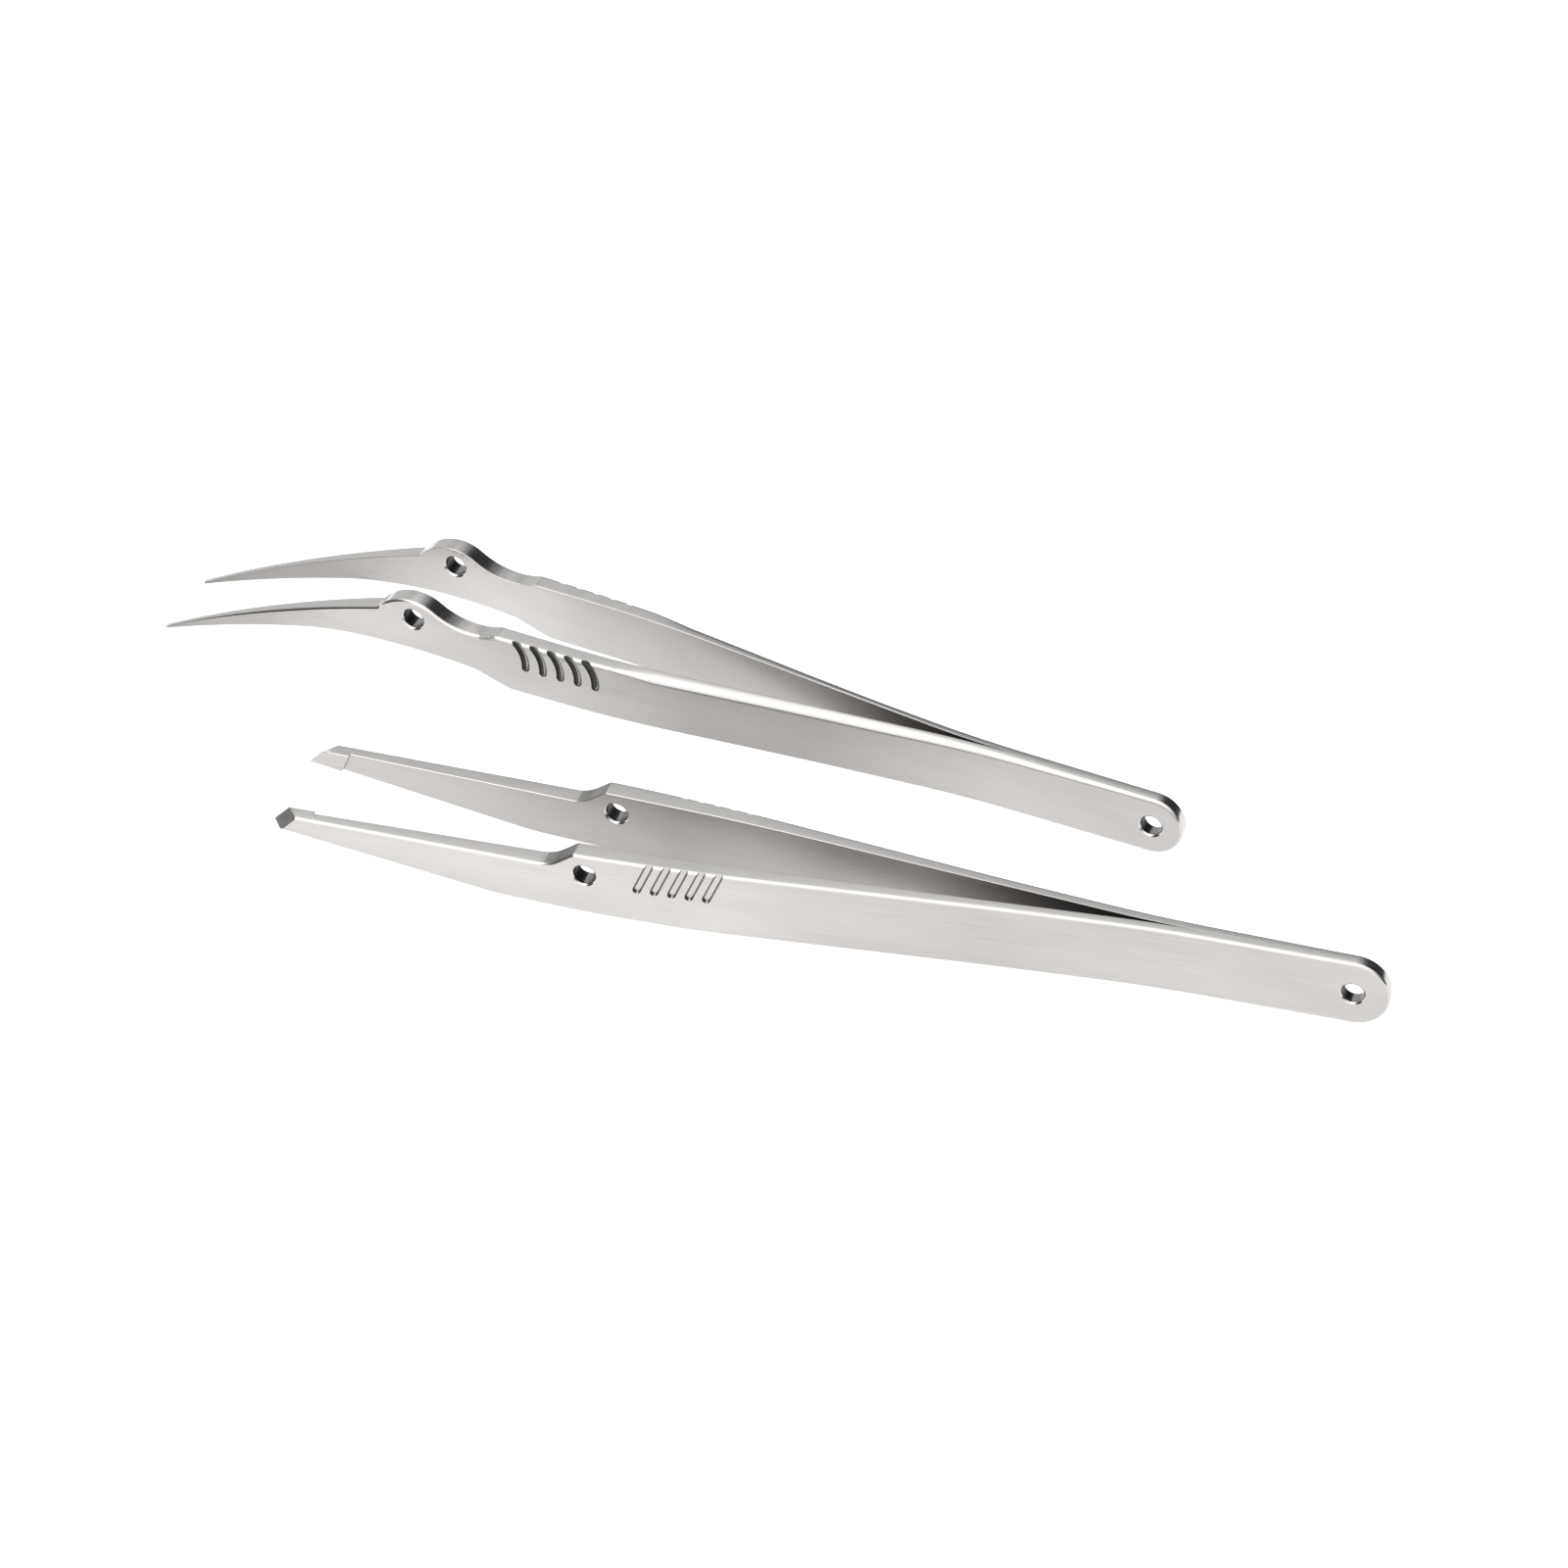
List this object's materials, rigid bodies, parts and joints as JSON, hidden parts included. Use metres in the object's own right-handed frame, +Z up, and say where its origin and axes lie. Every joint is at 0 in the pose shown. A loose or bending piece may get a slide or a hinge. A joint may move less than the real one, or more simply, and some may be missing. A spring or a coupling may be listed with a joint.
{
  "type": "print tongs",
  "caption": "Matched set of two spring tongs for prints and film: one straight with padded flat jaws, one with a curved pointed blade. Brushed metal.",
  "frame": {"origin": "on the ground, at the centre of the set's bounding box", "axes": "+X from the jaws to the tails along the straight pair, +Y from the straight pair to the curved pair, +Z up"},
  "size_m": [0.2318, 0.0716, 0.0214],
  "materials": {
    "steel": "satin, brushed lengthwise, with polished edges"
  },
  "bodies": {
    "straight_tail": {"straight_front_tail": "steel", "straight_rear_tail": "steel"},
    "straight_front": {"straight_front_arm": "steel", "straight_front_grip": "steel", "straight_front_jaw": "steel"},
    "straight_rear": {"straight_rear_arm": "steel", "straight_rear_grip": "steel", "straight_rear_jaw": "steel"},
    "curved_tail": {"curved_front_tail": "steel", "curved_rear_tail": "steel"},
    "curved_front": {"curved_front_arm": "steel", "curved_front_grip": "steel", "curved_front_jaw": "steel"},
    "curved_rear": {"curved_rear_arm": "steel", "curved_rear_grip": "steel", "curved_rear_jaw": "steel"}
  },
  "joints": [
    {"name": "straight_front_squeeze", "type": "hinge", "parent": "straight_tail", "child": "straight_front", "pos_m": [0.04977, -0.02728, 0], "axis": [0, 0, -1], "range_deg": [0, 3.67], "stiffness_Nm_per_rad": 1},
    {"name": "straight_rear_squeeze", "type": "hinge", "parent": "straight_tail", "child": "straight_rear", "pos_m": [0.04977, -0.02275, 0], "axis": [0, 0, 1], "range_deg": [0, 3.67], "stiffness_Nm_per_rad": 1},
    {"name": "curved_lift", "type": "slide", "parent": "straight_tail", "child": "curved_tail", "axis": [0, 0, 1], "range_m": [0, 0.06]},
    {"name": "curved_front_squeeze", "type": "hinge", "parent": "curved_tail", "child": "curved_front", "pos_m": [0.00779, 0.01257, 0.00381], "axis": [-0.0631, 0.0065, -0.998], "range_deg": [0, 3.13], "stiffness_Nm_per_rad": 1},
    {"name": "curved_rear_squeeze", "type": "hinge", "parent": "curved_tail", "child": "curved_rear", "pos_m": [0.00837, 0.01826, 0.00381], "axis": [0.0631, -0.0065, 0.998], "range_deg": [0, 3.13], "stiffness_Nm_per_rad": 1}
  ],
  "couplings": [
    {"joint": "straight_rear_squeeze", "follows": "straight_front_squeeze", "ratio": 1},
    {"joint": "curved_rear_squeeze", "follows": "curved_front_squeeze", "ratio": 1}
  ]
}
